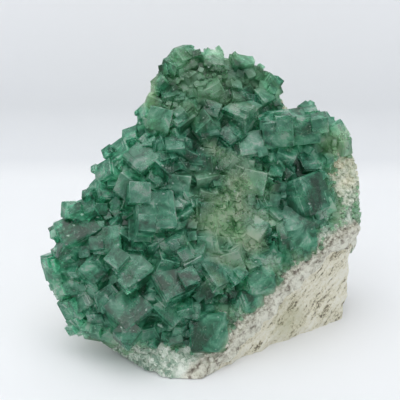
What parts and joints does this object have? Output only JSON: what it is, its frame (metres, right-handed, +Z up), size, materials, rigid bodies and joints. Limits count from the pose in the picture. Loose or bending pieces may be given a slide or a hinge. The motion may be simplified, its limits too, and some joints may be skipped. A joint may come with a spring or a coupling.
{
  "type": "mineral specimen",
  "caption": "Green fluorite cubes intergrown over the leaning front of a broken cream rock, which rests on a flat base.",
  "frame": {"origin": "centre of the bounding box, at floor level", "axes": "+Z up from the floor the rock rests on, -Y towards the viewer of the crystal-covered front, X from the left tip to the right corner"},
  "size_m": [0.1438, 0.0914, 0.1259],
  "materials": {
    "rock": "rough broken, grainy",
    "pale_sugar": "fine sugary, slightly glassy",
    "fluorite": "clear to milky crystal, glossy faces"
  },
  "bodies": {
    "root": {"matrix_rock": "rock", "pale_layer": "pale_sugar", "fluorite_druse": "fluorite"}
  },
  "joints": []
}
